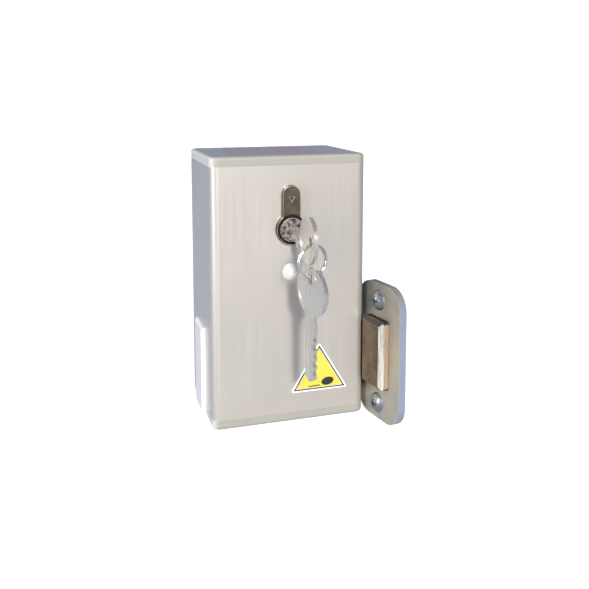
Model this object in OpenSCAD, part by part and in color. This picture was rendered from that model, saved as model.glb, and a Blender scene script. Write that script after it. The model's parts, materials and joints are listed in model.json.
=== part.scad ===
// Key-operated lock switch: a wall box extruded in aluminium, a half-profile lock cylinder
// that drives a bolt out of the right-hand side, and the loose strike that stands beside it.
// Frame: origin at the middle of the back face, +Z up, the front faces -Y, +X to the right.

/* [Enclosure] */
// Width of the box, left to right
box_w = 90; // [75:1:120]
// Depth of the box, back to front
box_d = 66; // [55:1:90]
// Height of the box with both end caps
box_h = 154; // [128:1:200]
// Radius of the four upright corners
corner_r = 4.5; // [3:0.5:8]
// Thickness of the aluminium wall
wall = 2.5; // [2:0.1:3.5]
// Height of each plastic end cap outside the tube
cap_h = 5.5; // [4:0.5:8]
// Rounding of the caps' outer edge
edge_r = 1.8; // [0.8:0.1:2.5]
// How far the nameplate stays in from the edges of the top cap
label_inset = 3.2; // [2.8:0.1:6]

/* [Lock cylinder] */
// From the top of the box down to the plug's axis
lock_drop = 41.2; // [34:0.1:60]
// Diameter of the round part of the cylinder
barrel_d = 17; // [17:0.1:17.5]
// Width of the cylinder's stem
stem_w = 10; // [9.5:0.1:10.5]
// Overall height of the cylinder, stem included
profile_h = 33; // [32:0.5:34]
// Length of the cylinder body
cyl_l = 32; // [30:0.5:38]
// How far the cylinder stands out of the front
cyl_out = 3; // [1:0.5:5]
// Diameter of the turning plug
plug_d = 13; // [12:0.1:13.5]

/* [Keys] */
// Length of a key's blade from its shoulder
blade_l = 30; // [28:0.5:31]
// Height of a key's blade
blade_h = 8.3; // [7.5:0.1:8.5]
// Thickness of a key
key_t = 2.2; // [1.8:0.1:2.4]
// Diameter of a key's bow
bow_d = 25.5; // [22:0.5:28]
// Length of the neck between shoulder and bow
neck_l = 4; // [3:0.5:8]
// Diameter of the hole in a bow
bow_hole_d = 5; // [4.6:0.1:6]
// Outside diameter of the split ring
ring_d = 17.8; // [17:0.1:24]
// Wire of the split ring
wire_d = 1.2; // [1:0.1:1.5]
// How far the key stands out of its home in the plug
key_out = 11; // [0:0.5:20]
// Turn of the ring and the spare key from square
hang_turn = 16; // [0:1:25]

/* [Bolt and slide] */
// Width of the bolt, back to front
bolt_w = 16; // [12:0.5:18]
// Height of the bolt
bolt_h = 36; // [26:0.5:38]
// Middle of the side windows above the foot of the box
window_up = 39; // [34:0.5:44]
// Radius at which the crank pin drives the slide
cam_r = 14; // [13:0.5:14.5]
// Thickness of the slide plate
slide_t = 3; // [2.5:0.5:3.5]
// Diameter of the guide studs
stud_d = 6; // [5:0.5:7]
// Stroke of the switch plunger over the whole turn of the key
plunger_stroke = 1.5; // [0.8:0.1:2]

/* [Outer details] */
// Width of the left-hand cover, back to front
cover_w = 22; // [20:0.5:30]
// Height of the left-hand cover
cover_h = 52; // [46:0.5:56]
// Thickness of the left-hand cover
cover_t = 2.2; // [1.6:0.1:3]
// Diameter of the round lens in the front
lens_d = 9.5; // [9:0.1:12]
// Drop of the lens below the plug's axis
lens_drop = 24.5; // [20:0.1:32]
// Width of the triangular warning sign
sign_w = 34.5; // [24:0.5:38]
// Height of the triangular warning sign
sign_h = 28.5; // [20:0.5:32]
// Middle of the warning sign, right of the box's middle
sign_x = 17.3; // [0:0.1:20]
// Lower edge of the warning sign above the foot of the box
sign_up = 16.9; // [10:0.1:30]

/* [Strike] */
// Width of the strike plate
strike_w = 42; // [36:0.5:50]
// Height of the strike plate
strike_h = 80; // [74:0.5:95]
// Thickness of the strike plate
strike_t = 4.5; // [3:0.1:6]
// Corner radius of the strike plate
strike_r = 12.5; // [6:0.5:14]
// Turn of the loose strike away from the box's side
strike_turn = 10; // [0:0.5:25]
// Middle of the strike in front of the box's front face
strike_ahead = 10; // [6:0.5:14]
// Gap between the box's side and the nearest edge of the strike
strike_gap = 1; // [0.5:0.1:10]
// Width of the block set in the strike
block_w = 21; // [16:0.5:24]
// Height of the block set in the strike
block_h = 40; // [30:0.5:44]
// How far the block stands out of the plate
block_out = 5.5; // [4:0.5:8]
// Distance between the strike's two screws
strike_pitch = 61; // [56:0.5:70]

/* [Wall fixing] */
// Spacing of the wall holes across
fix_across = 40; // [30:1:44]
// Spacing of the wall holes up and down
fix_up = 110; // [90:1:118]
// Diameter of the wall holes
fix_d = 5; // [4:0.1:6]
// Diameter of the cable entry's hole in the back
entry_d = 16; // [12:0.5:20]

/* [Hidden] */
$fn = 48;
eps = 0.01;
run_gap = 0.05;          // radial clearance of a turning or sliding fit
slip = 0.15;             // clearance of a part dropped into its seat
seat = 0.1;              // gap left where one part slides over another

foot = -box_h / 2;                       // underside of the box
face = -box_d;                           // front face
mid_y = -box_d / 2;
tube_h = box_h - 2 * cap_h;
inner_w = box_w - 2 * wall;
inner_d = box_d - 2 * wall;
channel = 8;                             // square screw channel in each corner
channel_bore = 3.6;
channel_x = inner_w / 2 - channel / 2;
channel_y = inner_d / 2 - channel / 2;
skirt_t = 2;
skirt_h = 6;
groove_w = 1.2;
groove_h = 0.8;
label_t = 0.8;
label_bed = 0.9;

lock_z = box_h / 2 - lock_drop;
cyl_front = face - cyl_out;
cyl_back = cyl_front + cyl_l;
stem_r = stem_w / 2;
stem_top = profile_h - barrel_d / 2;     // above the plug's axis
plug_face = cyl_front - 0.4;
pin_d = 2.9;
pin_bore = 3;
pin_step = 4.5;
pin_count = 5;
pin_first = cyl_front + 5;
blade_low = -5.2;                        // foot of the blade under the plug's axis
blade_top = blade_low + blade_h;
pin_foot = blade_top + seat;
tail_d = 8;
tail_flat = 6;
cam_t = 3.2;
cam_front = cyl_back + 0.2;
cam_back = cam_front + cam_t;
cam_hub_d = 16;
crank_w = 9;
crank_pin_d = 6;
crank_rest = 45;                         // degrees the crank starts left of straight up
crank_x = -cam_r * sin(crank_rest);
throw = 2 * cam_r * sin(crank_rest);     // travel of the slide over a quarter turn
clip_y = cam_back + 0.2;
clip_d = 11;
clip_t = 0.8;
clip_bed_d = 7;

plate_t = 2;
plate_y = cyl_back + 7;                  // front of the inner mounting plate
plate_back = plate_y + plate_t;
plate_w = box_w - 14;
plate_low = foot + 8;
plate_high = lock_z + 31;
slide_y1 = plate_y - seat;               // back of the slide
slide_y0 = slide_y1 - slide_t;
slide_left = -20;
slide_right = 14;
slide_top = lock_z + 21.5;
slide_wing = slide_left - 11;            // left edge beside the plug's tail
window_z = foot + window_up;
slide_low = window_z - 18;
ramp_rise = plunger_stroke;
pin_gap = 0.6;                           // each side of the crank pin, for its arc
stud_x = 8;
stud_z1 = lock_z - 30;
stud_z2 = window_z - 7;
slot_gap = 0.1;
stud_head_d = 10;
stud_head_h = 2;
tongue_h = 24;
tongue_x = 33;
bezel_t = 1.2;
bezel_wall = 1.6;
bolt_gap = 0.3;
bolt_tail = 16;
bolt_tip = box_w / 2 + bezel_t - 0.2;
bolt_y = slide_y0 + slide_t / 2;
window_w = bolt_w + 2 * bolt_gap + 2 * bezel_wall;
window_h = bolt_h + 2 * bolt_gap + 2 * bezel_wall;

post_d = 8;
post_x = plate_w / 2 - 9;
post_z1 = plate_high - 5.4;
post_z2 = plate_low + 8.3;
spigot_d = 5;

switch_w = 20;
switch_h = 10;
switch_t = 6.4;
switch_x = stud_x;
switch_top = slide_low - ramp_rise - 2.5;
pusher_d = 2.4;
slot_w = 14;                             // access slot behind the left-hand cover
slot_h = 34;
cover_z = foot + cover_h / 2 + 0.6;
slot_z = cover_z + 2;
terminal_x0 = -inner_w / 2 + 5;
terminal_w = 14;
terminal_d = 15;
terminal_pitch = 8;
terminal_h = 25;
terminal_z = cover_z + 6.4;

lens_z = lock_z - lens_drop;
lens_bore = 8;
sign_t = 0.3;
sign_round = 0.9;
sign_z = foot + sign_up;
entry_x = -22;
entry_z = foot + 46;

strike_x = box_w / 2 + strike_gap + strike_w / 2 * sin(strike_turn)
  + strike_t / 2 * cos(strike_turn);
strike_y = face - strike_ahead;
strike_z = foot + strike_h / 2;
strike_screw_d = 5;                      // shoulder through the plate and the block's flange
strike_stud_d = 4;                       // free end that the door's nut takes
strike_stud_l = 5.5;
flange_t = 1.5;
dome_d = 12;
dome_h = 3.4;

shoulder_t = 2;
key_home = plug_face - 0.5;              // back of the shoulder with the key pushed home
key_y = key_home - key_out;
neck_end = shoulder_t + neck_l;
bow_mid = neck_end + bow_d / 2 - 0.6;
hole_off = bow_d / 2 - 6.5;              // from the bow's middle out to its hole
hole_mid = bow_mid + hole_off;
ring_r = (ring_d - wire_d) / 2;
hang_gap = 0.4;
wire_sink = bow_hole_d / 2 - wire_d / 2 - hang_gap;
ring_y = key_y - hole_mid;
ring_top = lock_z - wire_sink;           // middle of the wire inside the first bow
ring_mid = ring_top - ring_r;
ring_low = ring_mid - ring_r;            // middle of the wire inside the spare's bow
spare_hole = ring_low - wire_sink;

/* Shared shapes */

module rrect(w, h, r) {
  square([w - 2 * r, h], center = true);
  square([w, h - 2 * r], center = true);
  for (sx = [-1, 1], sy = [-1, 1])
    translate([sx * (w / 2 - r), sy * (h / 2 - r)]) circle(r);
}

// an outline in X and Z, drawn from y0 back to y1
module along_y(y0, y1) {
  translate([0, y1, 0]) rotate([90, 0, 0]) linear_extrude(y1 - y0) children();
}

// an outline in Y and Z, drawn from x0 to x1
module along_x(x0, x1) {
  translate([x0, 0, 0]) rotate([90, 0, 90]) linear_extrude(x1 - x0) children();
}

module rod_y(d, y0, y1, x = 0, z = 0) {
  translate([x, y1, z]) rotate([90, 0, 0]) cylinder(d = d, h = y1 - y0);
}

module rod_x(d, x0, x1, y = 0, z = 0) {
  translate([x0, y, z]) rotate([0, 90, 0]) cylinder(d = d, h = x1 - x0);
}

module corners(x, y) {
  for (sx = [-1, 1], sy = [-1, 1]) translate([sx * x, sy * y, 0]) children();
}

module cross_slot(d, depth) {
  for (turn = [0, 90]) rotate([0, 0, turn])
    translate([-d / 2, -0.6, -depth]) cube([d, 1.2, depth + 1]);
}

// half-profile outline with its round at the plug's axis and its stem above
module profile(grow = 0) {
  circle(barrel_d / 2 + grow);
  translate([-stem_r - grow, 0]) square([2 * (stem_r + grow), stem_top - stem_r]);
  translate([0, stem_top - stem_r]) circle(stem_r + grow);
}

/* Enclosure */

module housing_tube() color([0.80, 0.78, 0.75]) difference() {
  translate([0, mid_y, -tube_h / 2]) linear_extrude(tube_h) difference() {
    union() {
      difference() {
        rrect(box_w, box_d, corner_r);
        rrect(inner_w, inner_d, 1);
      }
      corners(channel_x, channel_y) square(channel + 0.6, center = true);
    }
    corners(channel_x, channel_y) circle(d = channel_bore);
  }
  along_y(face - 1, face + wall + 1) translate([0, lock_z]) profile(0.2);
  rod_y(lens_bore + 2 * run_gap, face - 1, face + wall + 1, 0, lens_z);
  along_x(-box_w / 2 - 1, -inner_w / 2 + 1) translate([bolt_y, slot_z]) rrect(slot_w, slot_h, 2);
  along_x(inner_w / 2 - 1, box_w / 2 + 1) translate([bolt_y, window_z])
    rrect(window_w + 2 * slip, window_h + 2 * slip, 2);
  for (sx = [-1, 1], sz = [-1, 1])
    rod_y(fix_d, -wall - 1, 1, sx * fix_across / 2, sz * fix_up / 2);
  rod_y(entry_d, -wall - 1, 1, entry_x, entry_z);
  for (sx = [-1, 1], pz = [post_z1, post_z2])
    rod_y(spigot_d + 2 * run_gap, -wall - 1, 1, sx * post_x, pz);
}

// one cap, drawn upwards from the end of the tube
module cap(bed) {
  difference() {
    union() {
      hull() corners(box_w / 2 - corner_r, box_d / 2 - corner_r) rotate_extrude($fn = 40) {
        square([corner_r, cap_h - edge_r]);
        square([corner_r - edge_r, cap_h]);
        intersection() {
          translate([corner_r - edge_r, cap_h - edge_r]) circle(edge_r, $fn = 32);
          square([corner_r, cap_h]);
        }
      }
      for (side = [0, 180]) rotate([0, 0, side]) {
        translate([-channel_x + channel / 2 + 1, inner_d / 2 - slip - skirt_t, -skirt_h])
          cube([2 * channel_x - channel - 2, skirt_t, skirt_h + 1]);
        translate([inner_w / 2 - slip - skirt_t, -channel_y + channel / 2 + 1, -skirt_h])
          cube([skirt_t, 2 * channel_y - channel - 2, skirt_h + 1]);
      }
    }
    if (bed > 0) translate([0, 0, cap_h - bed]) linear_extrude(bed + 1)
      rrect(box_w - 2 * label_inset, box_d - 2 * label_inset, 2.5);
    translate([0, 0, -eps]) linear_extrude(groove_h + eps) gasket_outline(run_gap);
    corners(channel_x, channel_y) {
      translate([0, 0, -1]) cylinder(d = 4.2, h = cap_h + 2);
      translate([0, 0, cap_h - bed - 1.7]) cylinder(d1 = 4.2, d2 = 7.6, h = 1.7);
    }
  }
}

module gasket_outline(grow = 0) difference() {
  rrect(box_w - wall + groove_w + 2 * grow, box_d - wall + groove_w + 2 * grow, corner_r - 0.6);
  rrect(box_w - wall - groove_w - 2 * grow, box_d - wall - groove_w - 2 * grow, corner_r - 1.8);
}

// countersunk cap screws, drawn for a cap that faces up
module cap_screws(bed) corners(channel_x, channel_y) difference() {
  union() {
    translate([0, 0, cap_h - bed - 1.75]) cylinder(d1 = 3.9, d2 = 7.2, h = 1.65);
    translate([0, 0, -12]) cylinder(d = channel_bore - 2 * run_gap, h = 12 + cap_h - bed - 1.75 + eps);
  }
  translate([0, 0, cap_h - bed - 0.1]) cross_slot(4, 1.1);
}

module at_top() translate([0, mid_y, tube_h / 2]) children();
module at_foot() translate([0, mid_y, -tube_h / 2]) mirror([0, 0, 1]) children();

module top_cap() color([0.86, 0.85, 0.78]) at_top() cap(label_bed);
module bottom_cap() color([0.86, 0.85, 0.78]) at_foot() cap(0);
module top_gasket() color([0.15, 0.15, 0.15]) at_top() linear_extrude(groove_h) gasket_outline();
module bottom_gasket() color([0.15, 0.15, 0.15]) at_foot() linear_extrude(groove_h) gasket_outline();
module top_screws() color([0.7, 0.7, 0.7]) at_top() cap_screws(label_bed);
module bottom_screws() color([0.7, 0.7, 0.7]) at_foot() cap_screws(0);

module top_label() color([0.58, 0.60, 0.63]) at_top() translate([0, 0, cap_h - label_bed])
  linear_extrude(label_t)
    rrect(box_w - 2 * label_inset - 2 * slip, box_d - 2 * label_inset - 2 * slip, 2.4);

// cover over the access slot in the left-hand side, with two snap tongues
module side_cover() color([0.93, 0.93, 0.91]) union() {
  hull() {
    translate([-box_w / 2 - cover_t + 1.1, bolt_y - cover_w / 2, cover_z - cover_h / 2])
      cube([cover_t - 1.1, cover_w, cover_h]);
    translate([-box_w / 2 - cover_t, bolt_y - cover_w / 2 + 1.1, cover_z - cover_h / 2 + 1.1])
      cube([cover_t - 1.1, cover_w - 2.2, cover_h - 2.2]);
  }
  along_x(-box_w / 2 - eps, -inner_w / 2) translate([bolt_y, slot_z])
    rrect(slot_w - 2 * slip, slot_h - 2 * slip, 2);
  for (end = [-1, 1]) translate([-inner_w / 2 - eps, bolt_y - 3, slot_z + end * (slot_h / 2 - 2) - 1])
    cube([2.4, 6, 2]);
}

// plastic collar that lines the bolt's window
module bolt_bezel() color([0.20, 0.20, 0.21]) difference() {
  union() {
    along_x(box_w / 2, box_w / 2 + bezel_t) translate([bolt_y, window_z])
      rrect(window_w + 5, window_h + 5, 3);
    along_x(inner_w / 2 - 1.5, box_w / 2 + eps) translate([bolt_y, window_z])
      rrect(window_w, window_h, 1.9);
  }
  along_x(inner_w / 2 - 3, box_w / 2 + bezel_t + 1) translate([bolt_y, window_z])
    square([bolt_w + 2 * bolt_gap, bolt_h + 2 * bolt_gap], center = true);
}

// rubber cable grommet in the back, its groove held by the wall's edge
module grommet() color([0.12, 0.12, 0.12]) difference() {
  translate([entry_x, -wall / 2, entry_z]) rotate([90, 0, 0]) rotate_extrude() {
    translate([4, -wall / 2]) square([entry_d / 2 - 4 - run_gap, wall]);
    translate([4, wall / 2]) square([entry_d / 2 - 2.5, 1.6]);
  }
  rod_y(8, -wall - 3, 1, entry_x, entry_z);
}

// lens with its dome in front of the wall and a short neck through it
module lens() color([0.95, 0.95, 0.94]) union() {
  translate([0, face, lens_z]) rotate([90, 0, 0]) rotate_extrude() intersection() {
    translate([0, 1.4 - lens_d]) circle(lens_d, $fn = 96);
    square([lens_d / 2, 3]);
  }
  rod_y(lens_bore, face - eps, face + wall + 3, 0, lens_z);
}

module lens_nut() color([0.25, 0.25, 0.26]) difference() {
  rod_y(13, face + wall, face + wall + 2.4, 0, lens_z);
  rod_y(lens_bore + 2 * run_gap, face + wall - 1, face + wall + 4, 0, lens_z);
}

// the sign's outline is a triangle drawn in by its corner radius and rounded out again
module warning_sign() color([0.95, 0.88, 0.25]) along_y(face - sign_t, face)
  translate([sign_x, sign_z]) {
    side = sqrt(sign_w * sign_w / 4 + sign_h * sign_h);
    centre = sign_w * sign_h / (sign_w + 2 * side);
    shrink = 1 - sign_round / centre;
    hull() for (p = [[-sign_w / 2, 0], [sign_w / 2, 0], [0, sign_h]])
      translate([p[0] * shrink, centre + (p[1] - centre) * shrink]) circle(sign_round, $fn = 24);
  }

/* Inner mounting plate */

module inner_plate() color([0.72, 0.73, 0.74]) difference() {
  along_y(plate_y, plate_back) difference() {
    translate([-plate_w / 2, plate_low]) square([plate_w, plate_high - plate_low]);
    translate([0, lock_z]) circle(d = clip_d + 4);
    translate([bolt_tail - 3, window_z - bolt_h / 2 - 1]) square([plate_w, bolt_h + 2]);
    for (z = [stud_z1, stud_z2]) translate([stud_x, z]) circle(d = stud_d - 1 + 2 * run_gap);
    for (sx = [-1, 1], z = [post_z1, post_z2]) translate([sx * post_x, z]) circle(d = 4.3);
    translate([entry_x, entry_z]) circle(d = entry_d);
  }
}

module wall_posts() color([0.70, 0.70, 0.72])
  for (sx = [-1, 1], z = [post_z1, post_z2]) difference() {
    union() {
      rod_y(post_d, plate_back, -wall, sx * post_x, z);
      rod_y(spigot_d, -wall - eps, -0.1, sx * post_x, z);
    }
    rod_y(4, plate_back - 1, plate_back + 9, sx * post_x, z);
  }

module plate_screws() color([0.75, 0.75, 0.72])
  for (sx = [-1, 1], z = [post_z1, post_z2]) translate([sx * post_x, plate_y, z])
    rotate([90, 0, 0]) difference() {
      union() {
        cylinder(d = 7, h = 2.2);
        translate([0, 0, -9]) cylinder(d = 4 - 2 * run_gap, h = 9 + eps);
      }
      translate([0, 0, 2.2]) cross_slot(4, 1.1);
    }

module guide_studs() color([0.78, 0.77, 0.73]) for (z = [stud_z1, stud_z2]) {
  rod_y(stud_d - 1, plate_y - eps, plate_back, stud_x, z);
  rod_y(stud_d, slide_y0 - seat - eps, plate_y, stud_x, z);
  rod_y(stud_head_d, slide_y0 - seat - stud_head_h, slide_y0 - seat, stud_x, z);
}

/* Lock cylinder */

module cylinder_body() color([0.48, 0.45, 0.41]) translate([0, 0, lock_z]) difference() {
  along_y(cyl_front, cyl_back) profile();
  rod_y(plug_d + 2 * run_gap, cyl_front - 1, cyl_back + 1);
  for (i = [0 : pin_count - 1]) translate([0, pin_first + i * pin_step, 0])
    cylinder(d = pin_bore, h = stem_top - 3);
  translate([0, cyl_back - 3.5, stem_top - 10]) cylinder(d = 4.2, h = 12);
  along_y(cyl_front - 1, cyl_front + 0.3) translate([0, stem_top - 9])
    polygon([[-1.8, 3], [1.8, 3], [0, 0]]);
}

module cylinder_plug() color([0.62, 0.58, 0.52]) translate([0, 0, lock_z]) difference() {
  union() {
    rod_y(plug_d, plug_face, cyl_back);
    intersection() {
      rod_y(tail_d, cyl_back - eps, clip_y + clip_t + 1);
      translate([-tail_flat / 2, cyl_back - 1, -tail_d]) cube([tail_flat, 20, 2 * tail_d]);
    }
  }
  translate([-key_t / 2 - 0.12, plug_face - 1, blade_low - 0.12])
    cube([key_t + 0.24, blade_l + 3, blade_h + 0.24]);
  for (i = [0 : pin_count - 1]) translate([0, pin_first + i * pin_step, 0])
    cylinder(d = pin_bore, h = plug_d);
  difference() {
    rod_y(tail_d + 2, clip_y - run_gap, clip_y + clip_t + run_gap);
    rod_y(clip_bed_d, clip_y - 1, clip_y + clip_t + 1);
  }
}

module key_pins() color([0.78, 0.62, 0.30]) for (i = [0 : pin_count - 1])
  translate([0, pin_first + i * pin_step, lock_z + pin_foot]) {
    translate([0, 0, 0.8]) cylinder(d = pin_d, h = plug_d / 2 - 0.2 - pin_foot - 0.8);
    cylinder(d1 = pin_d - 1.6, d2 = pin_d, h = 0.8 + eps);
  }

module driver_pins() color([0.75, 0.72, 0.66]) for (i = [0 : pin_count - 1])
  translate([0, pin_first + i * pin_step, lock_z + plug_d / 2 + seat]) cylinder(d = pin_d, h = 6);

module pin_springs() color([0.70, 0.70, 0.72]) for (i = [0 : pin_count - 1])
  translate([0, pin_first + i * pin_step, lock_z + plug_d / 2 + seat + 6]) difference() {
    cylinder(d = 2.6, h = stem_top - 3 - plug_d / 2 - 6 - seat);
    translate([0, 0, -1]) cylinder(d = 1.8, h = stem_top);
  }

// crank behind the cylinder; its pin drives the slide
module plug_cam() color([0.66, 0.64, 0.60]) translate([0, 0, lock_z]) {
  along_y(cam_front, cam_back) difference() {
    union() {
      circle(d = cam_hub_d);
      rotate(crank_rest) {
        translate([-crank_w / 2, 0]) square([crank_w, cam_r]);
        translate([0, cam_r]) circle(d = crank_w);
      }
    }
    intersection() {
      circle(d = tail_d + 2 * run_gap);
      square([tail_flat + 2 * run_gap, tail_d + 2], center = true);
    }
  }
  rod_y(crank_pin_d, cam_back - eps, slide_y1 - 0.2, crank_x, cam_r * cos(crank_rest));
}

module plug_clip() color([0.35, 0.35, 0.36]) translate([0, 0, lock_z])
  along_y(clip_y, clip_y + clip_t) difference() {
    circle(d = clip_d);
    circle(d = clip_bed_d + 2 * run_gap);
    translate([-2, 0]) square([4, 10]);
  }

// block behind the front wall that holds the cylinder by its stem
module cylinder_bracket() color([0.62, 0.63, 0.64]) difference() {
  along_y(face + wall, cyl_back) translate([0, lock_z]) difference() {
    translate([-14, -2]) square([28, stem_top + 5]);
    profile(0.1);
  }
  translate([0, cyl_back - 3.5, lock_z + stem_top - 1]) cylinder(d = 5.1, h = 10);
}

module cylinder_screw() color([0.74, 0.74, 0.72])
  translate([0, cyl_back - 3.5, lock_z + stem_top]) difference() {
    union() {
      translate([0, 0, -8]) cylinder(d = 4.1, h = 8 + 3 + eps);
      translate([0, 0, 3]) cylinder(d = 8, h = 2.6);
    }
    translate([0, 0, 5.6]) cross_slot(4.6, 1.3);
  }

/* Keys */

// a key in the plane of its blade: blade along +Y from its shoulder, cuts on the +Z edge
module key_outline() difference() {
  union() {
    polygon(concat(
      [[0, blade_low], [blade_l - 3, blade_low], [blade_l, blade_low + 3],
       [blade_l, blade_low + 4.2], [blade_l - 2.2, blade_top - 0.4]],
      [for (i = [pin_count - 1 : -1 : 0], s = [1, 0, -1])
        let (c = pin_first - key_home + i * pin_step, cut = [1.1, 2.3, 0.7, 1.8, 1.4][i])
        s == 0 ? [c, blade_top - cut] : [c + s * 1.7, blade_top - (s == 1 && i == pin_count - 1 ? 0.6 : 0.2)]],
      [[2.2, blade_top], [0, blade_top]]));
    translate([-shoulder_t, blade_low - 2.2]) square([shoulder_t + eps, blade_h + 2.6]);
    translate([-neck_end - 1, blade_low + 0.4]) square([neck_l + 1.5, blade_h - 0.8]);
    translate([-bow_mid, 0]) circle(d = bow_d, $fn = 96);
  }
  translate([-hole_mid, 0]) circle(d = bow_hole_d);
}

module key_solid() difference() {
  along_x(-key_t / 2, key_t / 2) key_outline();
  for (side = [-1, 1]) {
    translate([side * key_t / 2, 0, 0]) {
      translate([-0.35, -neck_end + 1, -2.9]) cube([0.7, blade_l + neck_end + 1, 1.5]);
      translate([-0.25, -bow_mid, 0]) rotate([0, 90, 0]) difference() {
        cylinder(d = bow_d - 3, h = 0.5);
        translate([0, -hole_off, -1]) cylinder(d = bow_hole_d + 3, h = 3);
      }
    }
  }
}

module key() color([0.80, 0.79, 0.75]) translate([0, key_y, lock_z]) key_solid();

module spare_key() color([0.80, 0.79, 0.75])
  translate([0, ring_y, spare_hole]) rotate([0, 0, hang_turn + 180]) rotate([-90, 0, 0])
    translate([0, hole_mid, 0]) key_solid();

// two turns of wire side by side
module key_ring() color([0.83, 0.83, 0.82]) translate([0, ring_y, ring_mid])
  rotate([0, 0, hang_turn]) rotate([90, 0, 0]) rotate_extrude($fn = 96)
    for (side = [-1, 1]) translate([ring_r, side * wire_d * 0.47]) circle(d = wire_d, $fn = 24);

/* Slide and bolt */

module slide_plate() color([0.70, 0.71, 0.72]) along_y(slide_y0, slide_y1) difference() {
  polygon([
    [slide_left, slide_low - ramp_rise], [stud_x - throw, slide_low - ramp_rise],
    [stud_x, slide_low], [slide_right, slide_low],
    [slide_right, window_z - tongue_h / 2], [tongue_x, window_z - tongue_h / 2],
    [tongue_x, window_z + tongue_h / 2], [slide_right, window_z + tongue_h / 2],
    [slide_right, slide_top], [slide_wing, slide_top],
    [slide_wing, lock_z - 16], [slide_left, lock_z - 27]]);
  // slot for the crank pin, open into the window for the plug's tail
  translate([crank_x - crank_pin_d / 2 - pin_gap, lock_z])
    square([crank_pin_d + 2 * pin_gap, cam_r + crank_pin_d / 2 + 0.6]);
  translate([-throw - clip_d / 2 - 0.6, lock_z - clip_d / 2 - 0.6])
    square([throw + clip_d + 1.2, clip_d + 1.2]);
  for (z = [stud_z1, stud_z2]) translate([0, z]) {
    translate([stud_x - throw - 0.4, -stud_d / 2 - slot_gap])
      square([throw + 0.8, stud_d + 2 * slot_gap]);
    for (x = [stud_x - throw - 0.4, stud_x + 0.4]) translate([x, 0])
      circle(d = stud_d + 2 * slot_gap);
  }
  for (z = [-6, 6]) translate([26, window_z + z]) circle(d = 3.1);
}

module bolt() color([0.76, 0.75, 0.72]) difference() {
  translate([0, 0, window_z - bolt_h / 2]) linear_extrude(bolt_h) polygon([
    [bolt_tail, bolt_y - bolt_w / 2], [bolt_tip - 1.5, bolt_y - bolt_w / 2],
    [bolt_tip, bolt_y - bolt_w / 2 + 1.5], [bolt_tip, bolt_y + bolt_w / 2 - 1.5],
    [bolt_tip - 1.5, bolt_y + bolt_w / 2], [bolt_tail, bolt_y + bolt_w / 2]]);
  along_y(slide_y0 - run_gap, slide_y1 + run_gap)
    translate([bolt_tail - 1, window_z - tongue_h / 2 - run_gap])
      square([tongue_x - bolt_tail + 1 + run_gap, tongue_h + 2 * run_gap]);
  for (z = [-6, 6]) rod_y(3.1, bolt_y - bolt_w, bolt_y + bolt_w, 26, window_z + z);
}

module bolt_rivets() color([0.68, 0.67, 0.64]) for (z = [-6, 6])
  rod_y(3, bolt_y - bolt_w / 2 + 0.1, bolt_y + bolt_w / 2 - 0.1, 26, window_z + z);

/* Switch and terminals */

module switch_body() color([0.16, 0.16, 0.17]) difference() {
  union() {
    translate([switch_x - 6, plate_y - switch_t, switch_top - switch_h])
      cube([switch_w, switch_t, switch_h]);
    translate([switch_x - 3, plate_y - switch_t / 2 - 2, switch_top - eps]) cube([6, 4, 1]);
  }
  translate([switch_x, plate_y - switch_t / 2, switch_top - 5])
    cylinder(d = pusher_d + 2 * run_gap, h = 8);
}

module switch_plunger() color([0.75, 0.15, 0.12])
  translate([switch_x, plate_y - switch_t / 2, switch_top - 3]) {
    cylinder(d = pusher_d, h = slide_low - switch_top + 3 - seat - 0.5);
    translate([0, 0, slide_low - switch_top + 3 - seat - 0.5])
      cylinder(d1 = pusher_d, d2 = pusher_d - 1, h = 0.5);
  }

module terminal_block() color([0.88, 0.88, 0.84]) difference() {
  translate([terminal_x0, plate_y - terminal_d, terminal_z - terminal_h / 2])
    cube([terminal_w, terminal_d, terminal_h]);
  for (i = [-1 : 1]) {
    rod_x(4.4, terminal_x0 - 1, terminal_x0 + 7, plate_y - 5, terminal_z + i * terminal_pitch);
    rod_y(4.6, plate_y - terminal_d - 1, plate_y - terminal_d + 5,
          terminal_x0 + terminal_w / 2 + 3, terminal_z + i * terminal_pitch);
  }
}

module terminal_screws() color([0.78, 0.76, 0.68]) for (i = [-1 : 1])
  translate([terminal_x0 + terminal_w / 2 + 3, plate_y - terminal_d + 1.6,
             terminal_z + i * terminal_pitch]) rotate([90, 0, 0]) difference() {
    translate([0, 0, -3.3]) cylinder(d = 4.4, h = 3.3);
    translate([-3, -0.4, -0.8]) cube([6, 0.8, 2]);
  }

/* Strike, drawn square and then turned beside the box */

module at_strike() translate([strike_x, strike_y, strike_z]) rotate([0, 0, strike_turn]) children();

module strike_plate() color([0.60, 0.59, 0.55]) at_strike() along_x(-strike_t / 2, strike_t / 2)
  difference() {
    rrect(strike_w, strike_h, strike_r);
    rrect(block_w + 0.8, block_h + 0.8, 2.4);
    for (end = [-1, 1]) translate([0, end * strike_pitch / 2])
      circle(d = strike_screw_d + 2 * run_gap);
  }

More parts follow.
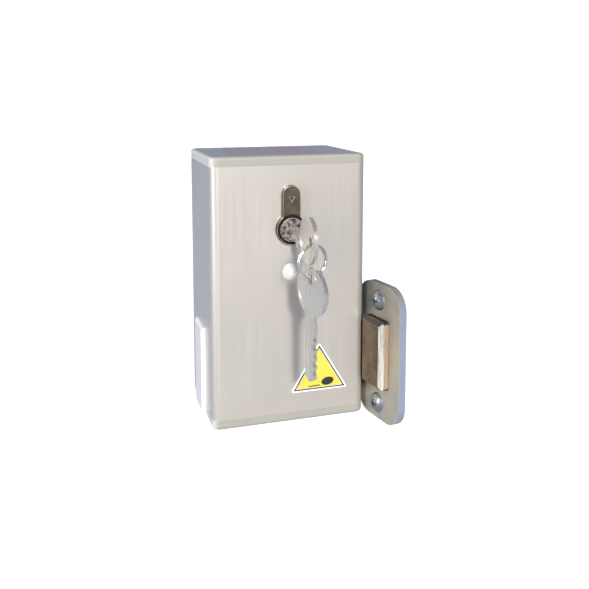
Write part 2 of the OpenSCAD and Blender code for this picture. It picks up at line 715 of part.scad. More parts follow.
// block with bevelled edges, its stem through the plate and a flange behind it
module strike_block() color([0.50, 0.44, 0.33]) at_strike() {
  bevel = 2.4;
  tip = -strike_t / 2 - block_out;
  intersection() {
    along_x(tip, strike_t / 2 + eps) rrect(block_w, block_h, 2);
    translate([0, 0, -block_h]) linear_extrude(2 * block_h) polygon([
      [tip, -block_w / 2 + bevel], [tip + bevel, -block_w / 2 - eps], [strike_t, -block_w / 2 - eps],
      [strike_t, block_w / 2 + eps], [tip + bevel, block_w / 2 + eps], [tip, block_w / 2 - bevel]]);
    along_y(-block_w, block_w) polygon([
      [tip, -block_h / 2 + bevel], [tip + bevel, -block_h / 2 - eps], [strike_t, -block_h / 2 - eps],
      [strike_t, block_h / 2 + eps], [tip + bevel, block_h / 2 + eps], [tip, block_h / 2 - bevel]]);
  }
  along_x(strike_t / 2, strike_t / 2 + flange_t) rrect(block_w + 5, block_h + 5, 3);
}

module strike_screws() color([0.66, 0.67, 0.66]) at_strike() for (end = [-1, 1])
  translate([-strike_t / 2, 0, end * strike_pitch / 2]) rotate([0, -90, 0]) difference() {
    union() {
      rotate_extrude() intersection() {
        dome_r = (dome_d * dome_d / 4 + dome_h * dome_h) / (2 * dome_h);
        translate([0, dome_h - dome_r]) circle(dome_r, $fn = 96);
        square([dome_d / 2, dome_h]);
      }
      translate([0, 0, -strike_t - flange_t])
        cylinder(d = strike_screw_d, h = strike_t + flange_t + eps);
      translate([0, 0, -strike_t - flange_t - strike_stud_l])
        cylinder(d = strike_stud_d, h = strike_stud_l + eps);
    }
    translate([0, 0, dome_h]) cross_slot(5.4, 1.9);
  }

housing_tube();
top_cap();
bottom_cap();
top_gasket();
bottom_gasket();
top_screws();
bottom_screws();
top_label();
side_cover();
bolt_bezel();
grommet();
lens();
lens_nut();
warning_sign();
inner_plate();
wall_posts();
plate_screws();
guide_studs();
cylinder_body();
cylinder_plug();
key_pins();
driver_pins();
pin_springs();
plug_cam();
plug_clip();
cylinder_bracket();
cylinder_screw();
key();
spare_key();
key_ring();
slide_plate();
bolt();
bolt_rivets();
switch_body();
switch_plunger();
terminal_block();
terminal_screws();
strike_plate();
strike_block();
strike_screws();
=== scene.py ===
"""Looks of the key-operated lock switch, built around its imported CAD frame."""
import json
import math
import random

import bmesh
import bpy
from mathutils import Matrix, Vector


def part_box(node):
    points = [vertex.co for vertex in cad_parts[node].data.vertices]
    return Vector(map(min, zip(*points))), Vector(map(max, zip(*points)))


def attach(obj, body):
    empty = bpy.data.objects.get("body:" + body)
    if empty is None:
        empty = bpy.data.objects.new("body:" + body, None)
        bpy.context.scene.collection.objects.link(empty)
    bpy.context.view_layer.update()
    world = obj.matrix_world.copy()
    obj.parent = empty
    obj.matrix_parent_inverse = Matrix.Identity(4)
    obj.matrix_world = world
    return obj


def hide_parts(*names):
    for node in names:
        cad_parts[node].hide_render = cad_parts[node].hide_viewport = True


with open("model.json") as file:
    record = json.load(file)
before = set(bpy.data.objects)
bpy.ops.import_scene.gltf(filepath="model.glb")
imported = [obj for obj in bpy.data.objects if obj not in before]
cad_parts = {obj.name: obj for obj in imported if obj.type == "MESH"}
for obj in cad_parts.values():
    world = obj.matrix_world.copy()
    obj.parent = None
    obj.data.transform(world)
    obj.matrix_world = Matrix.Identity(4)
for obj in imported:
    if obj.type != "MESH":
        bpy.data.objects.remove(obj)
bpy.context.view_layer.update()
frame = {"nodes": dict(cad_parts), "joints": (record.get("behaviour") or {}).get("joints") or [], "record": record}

MM = 0.001
NODES = frame["nodes"]


def span(node):
    """Lowest corner, highest corner and middle of a CAD node."""
    low, high = (Vector(corner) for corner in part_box(node))
    return low, high, (low + high) / 2


BOX_MID = span("housing_tube")[2]
FLOOR = span("bottom_cap")[0].z


# ---------------------------------------------------------------- camera

CAMERA_AT = Vector((-119.2, -462.9, 114.5)) * MM
CAMERA_TURN = 17.03      # degrees right of straight ahead
CAMERA_TILT = 6.80       # degrees down
CAMERA_LENS = 46.01
CAMERA_SHIFT = -0.20


def make_camera():
    data = bpy.data.cameras.new("camera")
    data.lens = CAMERA_LENS
    data.sensor_width = 36
    data.shift_y = CAMERA_SHIFT
    data.clip_start = 0.01
    camera = bpy.data.objects.new("camera", data)
    camera.location = CAMERA_AT
    camera.rotation_euler = (math.radians(90 - CAMERA_TILT), 0, -math.radians(CAMERA_TURN))
    bpy.context.collection.objects.link(camera)
    bpy.context.scene.camera = camera


make_camera()


# ---------------------------------------------------------------- shader helpers

class Graph:
    """A material's node tree, with short calls for the nodes used here."""

    def __init__(self, name):
        self.material = bpy.data.materials.new(name)
        self.material.use_nodes = True
        self.tree = self.material.node_tree
        self.shader = self.tree.nodes["Principled BSDF"]
        self.coords = self.add("ShaderNodeTexCoord")
        self.place = self.coords.outputs["Object"]

    def add(self, kind, **settings):
        node = self.tree.nodes.new(kind)
        for key, value in settings.items():
            setattr(node, key, value)
        return node

    def link(self, source, target):
        if isinstance(source, (int, float, tuple)):
            target.default_value = source
        else:
            self.tree.links.new(source, target)

    def stretched(self, scale, turn=(0, 0, 0)):
        node = self.add("ShaderNodeMapping")
        self.link(self.place, node.inputs["Vector"])
        node.inputs["Scale"].default_value = scale
        node.inputs["Rotation"].default_value = [math.radians(a) for a in turn]
        return node.outputs["Vector"]

    def noise(self, scale, detail=4.0, rough=0.5, where=None):
        node = self.add("ShaderNodeTexNoise")
        self.link(where or self.place, node.inputs["Vector"])
        node.inputs["Scale"].default_value = scale
        node.inputs["Detail"].default_value = detail
        node.inputs["Roughness"].default_value = rough
        return node.outputs["Fac"]

    def spread(self, value, low, high, to_low=0.0, to_high=1.0):
        node = self.add("ShaderNodeMapRange")
        for socket, item in zip(("Value", "From Min", "From Max", "To Min", "To Max"),
                                (value, low, high, to_low, to_high)):
            self.link(item, node.inputs[socket])
        return node.outputs["Result"]

    def math(self, kind, a, b=0.0):
        node = self.add("ShaderNodeMath", operation=kind)
        self.link(a, node.inputs[0])
        self.link(b, node.inputs[1])
        return node.outputs[0]

    def mix(self, share, a, b):
        node = self.add("ShaderNodeMix", data_type="RGBA")
        self.link(share, node.inputs[0])
        for item, socket in ((a, node.inputs[6]), (b, node.inputs[7])):
            self.link(rgba(item) if isinstance(item, tuple) else item, socket)
        return node.outputs[2]

    def bump(self, height, depth, strength):
        node = self.add("ShaderNodeBump")
        self.link(height, node.inputs["Height"])
        node.inputs["Distance"].default_value = depth
        node.inputs["Strength"].default_value = strength
        return node.outputs["Normal"]

    def edges(self, radius):
        """1 near the sharp edges of the mesh, 0 on its flats."""
        bevel = self.add("ShaderNodeBevel", samples=4)
        bevel.inputs["Radius"].default_value = radius
        flat = self.add("ShaderNodeNewGeometry").outputs["Normal"]
        dot = self.add("ShaderNodeVectorMath", operation="DOT_PRODUCT")
        self.link(bevel.outputs["Normal"], dot.inputs[0])
        self.link(flat, dot.inputs[1])
        return self.spread(dot.outputs["Value"], 0.99, 0.80)

    def facing(self, direction, low, high):
        """1 where the surface faces direction, in the part's own frame, 0 where it turns away."""
        dot = self.add("ShaderNodeVectorMath", operation="DOT_PRODUCT")
        self.link(self.coords.outputs["Normal"], dot.inputs[0])
        dot.inputs[1].default_value = Vector(direction).normalized()
        return self.spread(dot.outputs["Value"], low, high)

    def distance(self, point, weights=(1, 1, 1)):
        """Metres from a point, with each axis counted by its weight."""
        node = self.add("ShaderNodeVectorMath", operation="DISTANCE")
        self.link(self.stretched(weights), node.inputs[0])
        node.inputs[1].default_value = [a * b for a, b in zip(point, weights)]
        return node.outputs["Value"]

    def done(self, color, roughness, metallic=0.0, normal=None, **sockets):
        self.link(rgba(color) if isinstance(color, tuple) else color, self.shader.inputs["Base Color"])
        self.link(roughness, self.shader.inputs["Roughness"])
        self.shader.inputs["Metallic"].default_value = metallic
        if normal:
            self.link(normal, self.shader.inputs["Normal"])
        for name, value in sockets.items():
            self.shader.inputs[name.replace("_", " ")].default_value = value
        return self.material


def rgba(color):
    return tuple(color[:3]) + (1.0,)


def scaled(color, factor):
    return tuple(channel * factor for channel in color)


# ---------------------------------------------------------------- materials

def brushed(name, color, along, roughness=0.35, metallic=0.85, streak=0.05, blotch=0.05, scratch=0.0,
            **sockets):
    """Metal drawn or ground along one axis, with a slow change of tone over it."""
    g = Graph(name)
    fine = [1500.0 if axis != along else 14.0 for axis in "xyz"]
    broad = [260.0 if axis != along else 5.0 for axis in "xyz"]
    lines = g.noise(1.0, 3.0, 0.6, g.stretched(fine))
    bands = g.noise(1.0, 2.0, 0.5, g.stretched(broad))
    cloud = g.noise(22.0, 3.0)
    tone = g.mix(g.spread(lines, 0.3, 0.7), scaled(color, 1 - streak), scaled(color, 1 + streak))
    tone = g.mix(g.spread(bands, 0.35, 0.65, 0.0, 0.5), tone, scaled(color, 1 - 0.6 * streak))
    tone = g.mix(g.spread(cloud, 0.35, 0.7, 0.0, 1.0), tone, scaled(color, 1 - blotch))
    gloss = g.spread(lines, 0.25, 0.75, roughness - 0.06, roughness + 0.08)
    if scratch:
        marks = g.noise(1.0, 2.0, 0.5, g.stretched((900.0, 90.0, 260.0), (25, 40, 10)))
        mask = g.spread(marks, 0.70, 0.74)
        tone = g.mix(g.math("MULTIPLY", mask, scratch), tone, scaled(color, 1.35))
    return g.done(tone, gloss, metallic, g.bump(lines, 0.00003, 0.5), **sockets)


def cast(name, color, roughness=0.5, metallic=0.7, grain=900.0, depth=0.00006, wear=None):
    """Cast, sintered or plated metal with a fine irregular skin, brighter on worn edges."""
    g = Graph(name)
    skin = g.noise(grain, 5.0, 0.65)
    cloud = g.noise(60.0, 4.0, 0.6)
    tone = g.mix(g.spread(cloud, 0.3, 0.7), scaled(color, 0.86), scaled(color, 1.1))
    tone = g.mix(g.spread(skin, 0.35, 0.7, 0.0, 0.4), tone, scaled(color, 0.8))
    gloss = g.spread(cloud, 0.3, 0.7, roughness - 0.1, roughness + 0.1)
    if wear:
        chips = g.math("MULTIPLY", g.edges(0.0007), g.spread(g.noise(700.0, 3.0), 0.35, 0.6, 0.35, 1.0))
        tone = g.mix(chips, tone, wear)
        gloss = g.math("SUBTRACT", gloss, g.math("MULTIPLY", chips, 0.15))
    return g.done(tone, gloss, metallic, g.bump(skin, depth, 0.6))


def moulded(name, color, roughness=0.4, grain=1800.0, depth=0.00003, soft=0.0, painted_lit_left=None):
    """Moulded plastic: spark grain and faint flow clouds; where a left-side tone is given, faces turned left get
    it as painted light.
    """
    g = Graph(name)
    skin = g.noise(grain, 3.0, 0.6)
    cloud = g.noise(35.0, 3.0)
    tone = g.mix(g.spread(cloud, 0.3, 0.7), scaled(color, 0.955), scaled(color, 1.02))
    tone = g.mix(g.spread(skin, 0.62, 0.75, 0.0, 0.25), tone, scaled(color, 0.88))
    if painted_lit_left:
        # painted light: faces turned to the left are lifted to a paler tone, as if lit
        tone = g.mix(g.facing((-1, 0, 0), 0.4, 0.95), tone, painted_lit_left)
    gloss = g.spread(skin, 0.3, 0.7, roughness - 0.05, roughness + 0.08)
    extra = {"Subsurface_Weight": soft, "Subsurface_Scale": 0.002} if soft else {}
    return g.done(tone, gloss, 0.0, g.bump(skin, depth, 0.5), **extra)


def rubber(name, color):
    """Matte rubber with a little dust on it."""
    g = Graph(name)
    skin = g.noise(1400.0, 4.0, 0.7)
    dust = g.noise(120.0, 4.0)
    tone = g.mix(g.spread(dust, 0.45, 0.75, 0.0, 0.5), color, scaled(color, 2.2))
    return g.done(tone, g.spread(skin, 0.3, 0.7, 0.7, 0.9), 0.0, g.bump(skin, 0.00008, 0.6))


def printed(name, color, roughness=0.35):
    """Ink or printed foil: even tone with the slight unevenness of a screen print."""
    g = Graph(name)
    mesh = g.noise(2600.0, 2.0)
    cloud = g.noise(50.0, 3.0)
    tone = g.mix(g.spread(cloud, 0.3, 0.7), scaled(color, 0.93), scaled(color, 1.05))
    tone = g.mix(g.spread(mesh, 0.4, 0.7, 0.0, 0.3), tone, scaled(color, 0.85))
    return g.done(tone, g.spread(cloud, 0.3, 0.7, roughness - 0.05, roughness + 0.07), 0.0,
                  g.bump(mesh, 0.00001, 0.4))


PLUG_MID = span("cylinder_plug")[2]
STRIKE_HIGH, STRIKE_MID = span("strike_plate")[1:]
STRIKE_FRONT = (0.17, -0.98, 0.0)        # the way the strike's narrow front edge faces
CHAMFER = (-0.57, -0.82, 0.0)


def satin_body():
    """Worn satin nickel, with painted shade: the round face around the plug is darkened almost to black."""
    g = Graph("satin_nickel")
    skin, cloud = g.noise(2400.0, 5.0, 0.65), g.noise(160.0, 4.0, 0.6)
    base = (0.135, 0.113, 0.078)
    tone = g.mix(g.spread(cloud, 0.3, 0.7), scaled(base, 0.80), scaled(base, 1.15))
    # painted shade: a near-black ring on the round face around the plug
    ring = g.spread(g.distance(PLUG_MID, (1, 0, 1)), 8.9 * MM, 8.2 * MM)
    tone = g.mix(g.math("MULTIPLY", ring, 0.93), tone, (0.016, 0.015, 0.013))
    chips = g.math("MULTIPLY", g.edges(0.0006), g.spread(g.noise(700.0, 3.0), 0.35, 0.6, 0.4, 1.0))
    tone = g.mix(chips, tone, (0.80, 0.75, 0.66))
    gloss = g.spread(cloud, 0.3, 0.7, 0.28, 0.42)
    return g.done(tone, gloss, 0.85, g.bump(skin, 0.00003, 0.6))


def turned_plug():
    """Nickel over brass, turned on its face, with painted reflection: a random dark and bright mottle and fine
    bright speckles.
    """
    g = Graph("plug_nickel")
    rings = g.math("SINE", g.math("MULTIPLY", g.distance(PLUG_MID, (1, 0, 1)), 22000.0))
    painted_reflection_mottle, fine = g.noise(420.0, 4.0, 0.65), g.noise(1700.0, 3.0)
    # painted reflection: dark brown and bright nickel mottle, with bright speckles, laid at random
    tone = g.mix(g.spread(painted_reflection_mottle, 0.42, 0.58), (0.07, 0.054, 0.040), (0.50, 0.45, 0.39))
    tone = g.mix(g.spread(fine, 0.6, 0.75, 0.0, 0.6), tone, (0.88, 0.85, 0.80))
    chips = g.math("MULTIPLY", g.edges(0.0006), 0.9)
    tone = g.mix(chips, tone, (0.90, 0.87, 0.82))
    return g.done(tone, g.spread(painted_reflection_mottle, 0.3, 0.7, 0.18, 0.34), 0.92, g.bump(rings, 0.00002, 0.4))


def worn_plate_painted_light():
    """Zinc plate: warm and rubbed on its face, with worn edges; a painted bluish reflection on the narrow edge and
    a painted dark reflection towards the top back corner.
    """
    g = Graph("worn_zinc_plate")
    skin, cloud = g.noise(1100.0, 5.0, 0.65), g.noise(60.0, 4.0, 0.6)
    base = (0.50, 0.468, 0.392)
    tone = g.mix(g.spread(cloud, 0.3, 0.7), scaled(base, 0.80), scaled(base, 1.10))
    tone = g.mix(g.spread(skin, 0.35, 0.7, 0.0, 0.4), tone, scaled(base, 0.78))
    # painted dark reflection of the housing's side, strongest at the plate's top back corner
    corner = Vector((STRIKE_MID.x, STRIKE_HIGH.y, STRIKE_HIGH.z))
    shade = g.spread(g.distance(corner, (0.3, 1, 0.55)), 34 * MM, 4 * MM)
    tone = g.mix(g.math("MULTIPLY", shade, 0.85), tone, (0.055, 0.070, 0.085))
    # painted reflection: the narrow edge that faces front is tinted bluish
    tone = g.mix(g.facing(STRIKE_FRONT, 0.55, 0.95), tone, (0.40, 0.44, 0.54))
    chips = g.math("MULTIPLY", g.edges(0.0008), g.spread(g.noise(500.0, 3.0), 0.35, 0.6, 0.35, 1.0))
    tone = g.mix(chips, tone, (0.60, 0.62, 0.62))
    gloss = g.spread(cloud, 0.3, 0.7, 0.32, 0.50)
    return g.done(tone, gloss, 0.65, g.bump(skin, 0.00004, 0.6))


def bronze_with_painted_light():
    """Dark bronze with worn edges, and painted light: a bright painted highlight on the chamfer towards the bolt,
    a painted lit coppery narrow side and painted shade on the faces turned up.
    """
    g = Graph("dark_bronze")
    skin, cloud = g.noise(500.0, 5.0, 0.65), g.noise(110.0, 5.0, 0.7)
    tone = g.mix(g.spread(cloud, 0.32, 0.68), (0.07, 0.048, 0.026), (0.20, 0.148, 0.09))
    # painted shade: faces turned upward are darkened
    tone = g.mix(g.facing((-0.2, 0, 1), 0.60, 0.80), tone, (0.030, 0.026, 0.022))
    # painted light: the narrow side that faces front is lightened to a coppery tan
    tone = g.mix(g.facing(STRIKE_FRONT, 0.93, 0.98), tone, (0.50, 0.385, 0.27))
    # painted highlight on the chamfer, streaked upright
    streaks = g.noise(1.0, 3.0, 0.6, g.stretched((700.0, 700.0, 60.0)))
    painted_chamfer_highlight = g.mix(g.spread(streaks, 0.35, 0.6), (0.44, 0.39, 0.31), (0.80, 0.76, 0.69))
    tone = g.mix(g.facing(CHAMFER, 0.955, 0.985), tone, painted_chamfer_highlight)
    worn = g.math("MULTIPLY", g.edges(0.0007), g.spread(g.noise(700.0, 3.0), 0.35, 0.6, 0.3, 0.9))
    tone = g.mix(worn, tone, (0.80, 0.70, 0.52))
    return g.done(tone, g.spread(cloud, 0.3, 0.7, 0.26, 0.46), 0.55, g.bump(skin, 0.00006, 0.6))


ALUMINIUM = (0.512, 0.478, 0.428)
IVORY = (0.285, 0.277, 0.240)

LOOKS = {
    "extrusion": brushed("extruded_aluminium", ALUMINIUM, "z", 0.40, 0.60, 0.055, 0.05,
                         Coat_Weight=0.65, Coat_Roughness=0.20),
    # the caps' paler left faces are painted light
    "cap_plastic": moulded("ivory_plastic", IVORY, 0.45, painted_lit_left=(0.50, 0.50, 0.44)),
    "gasket_rubber": rubber("black_rubber", (0.03, 0.03, 0.032)),
    "zinc_screws": cast("zinc_plating", (0.55, 0.56, 0.55), 0.32, 0.9, 1600.0, 0.00002),
    "nameplate": brushed("nameplate_foil", (0.345, 0.35, 0.375), "x", 0.42, 0.4, 0.06, 0.06),
    "cover_plastic": moulded("white_plastic", (0.66, 0.66, 0.64), 0.3),
    "black_plastic": moulded("black_plastic", (0.028, 0.028, 0.03), 0.42),
    "lens_plastic": moulded("opal_plastic", (0.60, 0.59, 0.55), 0.22, 900.0, 0.00001, 0.3),
    "sign_vinyl": printed("white_vinyl", (0.80, 0.79, 0.74)),
    "zinc_sheet": brushed("zinc_sheet", (0.52, 0.54, 0.56), "x", 0.36, 0.9, 0.06, 0.12),
    "turned_steel": brushed("turned_steel", (0.58, 0.57, 0.54), "y", 0.26, 0.95, 0.06),
    "nickel_body": satin_body(),
    "plug_nickel": turned_plug(),
    "pin_brass": brushed("pin_brass", (0.62, 0.42, 0.14), "y", 0.3, 0.95),
    "sintered_steel": cast("sintered_steel", (0.36, 0.34, 0.31), 0.45, 0.85, 2200.0, 0.00005),
    "spring_steel": cast("blackened_steel", (0.08, 0.08, 0.085), 0.4, 0.8, 1500.0, 0.00002),
    "cast_zinc": cast("die_cast_zinc", (0.42, 0.43, 0.44), 0.5, 0.8, 700.0, 0.00008),
    "key_nickel": brushed("key_nickel", (0.73, 0.70, 0.63), "z", 0.27, 0.85, 0.08, 0.14, 0.5),
    "ring_steel": brushed("ring_steel", (0.72, 0.71, 0.69), "x", 0.18, 0.97, 0.04),
    "bolt_steel": brushed("bolt_steel", (0.56, 0.55, 0.52), "z", 0.28, 0.95, 0.07, 0.08, 0.4),
    "red_plastic": moulded("red_plastic", (0.55, 0.035, 0.025), 0.35),
    "terminal_plastic": moulded("terminal_plastic", (0.70, 0.70, 0.64), 0.45),
    "strike_zinc": worn_plate_painted_light(),
    "strike_bronze": bronze_with_painted_light(),
    "strike_screw_zinc": cast("screw_zinc", (0.27, 0.295, 0.30), 0.36, 0.85, 1200.0, 0.00003,
                              (0.6, 0.6, 0.58)),
}


def dress_nodes():
    """Every CAD node gets the look of its material slot."""
    for part in frame["record"]["subparts"]:
        shown = NODES[part["node"]]
        look = LOOKS[part["material_slot"]]
        shown.data.materials.clear()
        shown.data.materials.append(look)


dress_nodes()


# ---------------------------------------------------------------- pieces

def piece(name, mesh, look, body):
    mesh.materials.append(look)
    shown = bpy.data.objects.new(name, mesh)
    bpy.context.collection.objects.link(shown)
    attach(shown, body)
    return shown


def slab(outline, low, high, lift):
    """A thin closed sheet: the outline's points, from low to high along the axis that lift names."""
    build = bmesh.new()
    under = [build.verts.new(lift(p, low)) for p in outline]
    over = [build.verts.new(lift(p, high)) for p in outline]
    build.faces.new(reversed(under))
    build.faces.new(over)
    count = len(outline)
    for i in range(count):
        j = (i + 1) % count
        build.faces.new((under[i], under[j], over[j], over[i]))
    bmesh.ops.recalc_face_normals(build, faces=build.faces)
    return build


def to_mesh(name, build):
    mesh = bpy.data.meshes.new(name)
    build.to_mesh(mesh)
    build.free()
    return mesh


# warning sign: yellow field in a black border on the white vinyl
SIGN_LOW, SIGN_HIGH, SIGN_MID = span("warning_sign")
SIGN_CORNER = Vector((0.70, 0.84)) * MM      # what the rounding takes off each side and the top
INK = 0.04 * MM                              # thickness of one printed layer
FIELD_INSET = 1.9 * MM
BORDER_INSETS = (0.9 * MM, 1.7 * MM)
DROP_AT = (5.0, 5.0)                         # mm from the middle of the sign's foot
DROP_HALF = (3.7, 2.4)
DROP_LEAN = 0.35
DASH_CORNERS = ((-6.5, 2.5), (0.5, 2.7), (0.5, 3.3), (-6.5, 3.1))
YELLOW_INK = printed("yellow_ink", (0.56, 0.50, 0.065))
BLACK_INK = printed("black_ink", (0.02, 0.02, 0.02))


def triangle(inset):
    """Corners of the sign's triangle before its rounding, drawn in by inset."""
    low, high = SIGN_LOW, SIGN_HIGH
    half = (high.x - low.x) / 2 + SIGN_CORNER.x
    tall = high.z - low.z + SIGN_CORNER.y
    side = math.hypot(half, tall)
    centre = half * tall / (half + side)
    shrink = 1 - inset / centre
    return [Vector((SIGN_MID.x + x * shrink, low.z + centre + (z - centre) * shrink))
            for x, z in ((0, tall), (-half, 0), (half, 0))]


def on_front(point, height):
    return (point[0], SIGN_LOW.y - height, point[1])


def ring_slab(outer, inner, low, high):
    """A frame between two outlines with as many points."""
    build = bmesh.new()
    loops = [[build.verts.new(on_front(p, h)) for p in line]
             for line, h in ((outer, low), (outer, high), (inner, high), (inner, low))]
    count = len(outer)
    for k in range(4):
        a, b = loops[k], loops[(k + 1) % 4]
        for i in range(count):
            j = (i + 1) % count
            build.faces.new((a[i], a[j], b[j], b[i]))
    bmesh.ops.recalc_face_normals(build, faces=build.faces)
    return build


def make_sign():
    field = slab(triangle(FIELD_INSET), 0, INK, on_front)
    piece("sign_field", to_mesh("sign_field", field), YELLOW_INK, "box")
    border = ring_slab(*map(triangle, BORDER_INSETS), 0, INK)
    piece("sign_border", to_mesh("sign_border", border), BLACK_INK, "box")
    base = Vector((SIGN_MID.x, SIGN_LOW.z))
    drop = [base + Vector((DROP_AT[0] + DROP_HALF[0] * math.cos(a),
                           DROP_AT[1] + DROP_HALF[1] * math.sin(a) + DROP_LEAN * math.cos(a))) * MM
            for a in (math.tau * i / 40 for i in range(40))]
    piece("sign_drop", to_mesh("sign_drop", slab(drop, INK, 2 * INK, on_front)), BLACK_INK,
          "box")
    dash = [base + Vector(p) * MM for p in DASH_CORNERS]
    piece("sign_dash", to_mesh("sign_dash", slab(dash, INK, 2 * INK, on_front)), BLACK_INK,
          "box")


make_sign()


# nameplate: rows of plain red dashes, which stand for print
LABEL_HIGH, LABEL_MID = span("top_label")[1:]
RED_INK = printed("red_ink", (0.27, 0.03, 0.055))
PRINT_ROWS = 6
ROW_STEP = 7.6 * MM
DASH_TALL = 1.9 * MM
DASH_WIDE = (1.2, 3.4)                       # mm, shortest and longest
DASH_GAP = (0.5, 1.3)
ROW_START = (26, 32)                         # mm left of the middle
ROW_END = (22, 32)


def make_print():
    draw = random.Random(7)
    build = bmesh.new()
    for row in range(PRINT_ROWS):
        y = LABEL_MID.y + (PRINT_ROWS / 2 - 0.5 - row) * ROW_STEP
        x = LABEL_MID.x - draw.uniform(*ROW_START) * MM
        end = LABEL_MID.x + draw.uniform(*ROW_END) * MM
        while x < end:
            wide = draw.uniform(*DASH_WIDE) * MM
            top = LABEL_HIGH.z + INK
            corners = [(x, y), (x + wide, y), (x + wide, y + DASH_TALL), (x, y + DASH_TALL)]
            under = [build.verts.new((cx, cy, LABEL_HIGH.z)) for cx, cy in corners]
            over = [build.verts.new((cx, cy, top)) for cx, cy in corners]
            build.faces.new(over)
            build.faces.new(reversed(under))
            for i in range(4):
                j = (i + 1) % 4
                build.faces.new((under[i], under[j], over[j], over[i]))
            x += wide + draw.uniform(*DASH_GAP) * MM
    piece("nameplate_print", to_mesh("nameplate_print", build), RED_INK, "box")


make_print()


# split ring: one wire wound twice, stepping over itself
RING_LOW, RING_HIGH, RING_MID = span("key_ring")
WIRE_RADIUS = 0.58 * MM
WIRE_INSET = 0.62 * MM                       # from the ring's outside to the wire's middle
WIRE_STEPS, WIRE_SIDES = 200, 12
WIRE_START = 200                             # degrees round from the top
CROSSING = 14                                # how steeply one turn steps over the other


def make_ring():
    radius = (RING_HIGH.z - RING_LOW.z) / 2 - WIRE_INSET
    turn = next(j for j in frame["joints"] if j["name"] == "spare_swing")["axis"]
    across = -Vector(turn).normalized()
    out = Vector((0, 0, 1)).cross(across)
    build = bmesh.new()
    rings = []
    for i in range(WIRE_STEPS + 1):
        share = i / WIRE_STEPS
        angle = math.tau * (2 * share) + math.radians(WIRE_START)
        step = max(-1.0, min(1.0, (share - 0.5) * CROSSING))
        lift = out * WIRE_RADIUS * step
        spoke = across * math.sin(angle) + Vector((0, 0, math.cos(angle)))
        centre = RING_MID + spoke * radius + lift
        end = min(share, 1 - share) * WIRE_STEPS
        size = WIRE_RADIUS * (0.55 if end < 1 else 0.85 if end < 2 else 1.0)
        rings.append([build.verts.new(centre + size * (spoke * math.cos(b) + out * math.sin(b)))
                      for b in (math.tau * k / WIRE_SIDES for k in range(WIRE_SIDES))])
    for a, b in zip(rings, rings[1:]):
        for k in range(WIRE_SIDES):
            n = (k + 1) % WIRE_SIDES
            build.faces.new((a[k], a[n], b[n], b[k])).smooth = True
    build.faces.new(rings[0])
    build.faces.new(rings[-1])
    bmesh.ops.recalc_face_normals(build, faces=build.faces)
    shown = piece("split_ring", to_mesh("split_ring", build), LOOKS["ring_steel"], "ring")
    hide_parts("key_ring")


make_ring()


# ---------------------------------------------------------------- floor and light

FLOOR_WIDE = 60          # metres, so that its edge never shows
FLOOR_TONE = (0.43, 0.455, 0.52)
FLOOR_GLOW = 0.82        # what the camera sees is lifted to the white of the studio's far wall


def make_floor():
    bpy.ops.mesh.primitive_plane_add(size=FLOOR_WIDE, location=(0, 0, FLOOR))
    floor = bpy.context.object
    floor.name = "floor"
    g = Graph("studio_floor")
    seen = g.add("ShaderNodeLightPath").outputs["Is Camera Ray"]
    g.link(g.math("MULTIPLY", seen, FLOOR_GLOW), g.shader.inputs["Emission Strength"])
    floor.data.materials.append(g.done(FLOOR_TONE, 0.9, Emission_Color=(1, 1, 1, 1)))


def sun(name, toward, strength, spread, color):
    """Even light that comes from the direction toward, spread over that many degrees."""
    data = bpy.data.lights.new(name, "SUN")
    data.energy, data.angle, data.color = strength, math.radians(spread), color
    light = bpy.data.objects.new(name, data)
    light.location = BOX_MID + Vector(toward).normalized()
    light.rotation_euler = (-Vector(toward)).to_track_quat("-Z", "Y").to_euler()
    bpy.context.collection.objects.link(light)


def area_light(name, at, width, height, power, color):
    """A soft box of width by height metres that faces the object."""
    data = bpy.data.lights.new(name, "AREA")
    data.shape = "RECTANGLE"
    data.size, data.size_y, data.energy, data.color = width, height, power, color
    light = bpy.data.objects.new(name, data)
    light.location = at
    light.rotation_euler = (BOX_MID - Vector(at)).to_track_quat("-Z", "Y").to_euler()
    bpy.context.collection.objects.link(light)


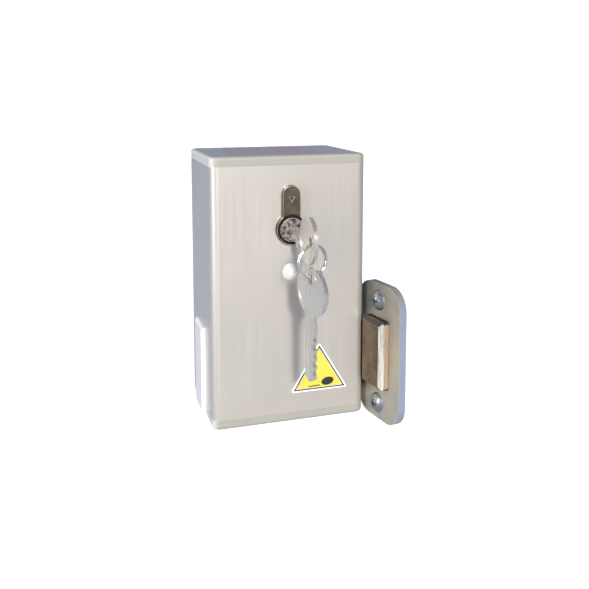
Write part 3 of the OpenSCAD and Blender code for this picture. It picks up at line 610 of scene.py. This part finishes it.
WARM_TOWARD = (0.72, -0.55, 0.42)
KEY_TOWARD = (-0.10, -1.0, 0.42)
KEY_STRENGTH, KEY_SPREAD = 4.45, 8.0
KEY_COLOR = (1.0, 0.97, 0.93)
STRIP_AT = (-0.96, -0.46, 0.30)
STRIP_WIDE, STRIP_TALL, STRIP_POWER = 0.16, 0.80, 9.0
STRIP_COLOR = (1.0, 0.99, 0.97)
COOL_SIDE = (0.40, 0.50, 0.75)
WARM_SIDE = (0.17, 0.17, 0.185)


def make_world():
    """A pale studio, cooler behind the object's left; white where the camera looks past the floor."""
    world = bpy.data.worlds.new("studio")
    bpy.context.scene.world = world
    world.use_nodes = True
    tree = world.node_tree
    shade = tree.nodes["Background"]
    place = tree.nodes.new("ShaderNodeTexCoord")
    side = tree.nodes.new("ShaderNodeVectorMath")
    side.operation = "DOT_PRODUCT"
    side.inputs[1].default_value = WARM_TOWARD
    tree.links.new(place.outputs["Generated"], side.inputs[0])
    ramp = tree.nodes.new("ShaderNodeMapRange")
    ramp.inputs["From Min"].default_value = -1.0
    tree.links.new(side.outputs["Value"], ramp.inputs["Value"])
    tint = tree.nodes.new("ShaderNodeMix")
    tint.data_type = "RGBA"
    tint.inputs[6].default_value = rgba(COOL_SIDE)
    tint.inputs[7].default_value = rgba(WARM_SIDE)
    tree.links.new(ramp.outputs["Result"], tint.inputs[0])
    path = tree.nodes.new("ShaderNodeLightPath")
    seen = tree.nodes.new("ShaderNodeMix")
    seen.data_type = "RGBA"
    seen.inputs[7].default_value = (1, 1, 1, 1)
    tree.links.new(path.outputs["Is Camera Ray"], seen.inputs[0])
    tree.links.new(tint.outputs[2], seen.inputs[6])
    tree.links.new(seen.outputs[2], shade.inputs["Color"])
    shade.inputs["Strength"].default_value = 1.0


make_floor()
make_world()
sun("key_light", KEY_TOWARD, KEY_STRENGTH, KEY_SPREAD, KEY_COLOR)
area_light("strip_light", STRIP_AT, STRIP_WIDE, STRIP_TALL, STRIP_POWER, STRIP_COLOR)
bpy.context.scene.view_settings.view_transform = "Standard"
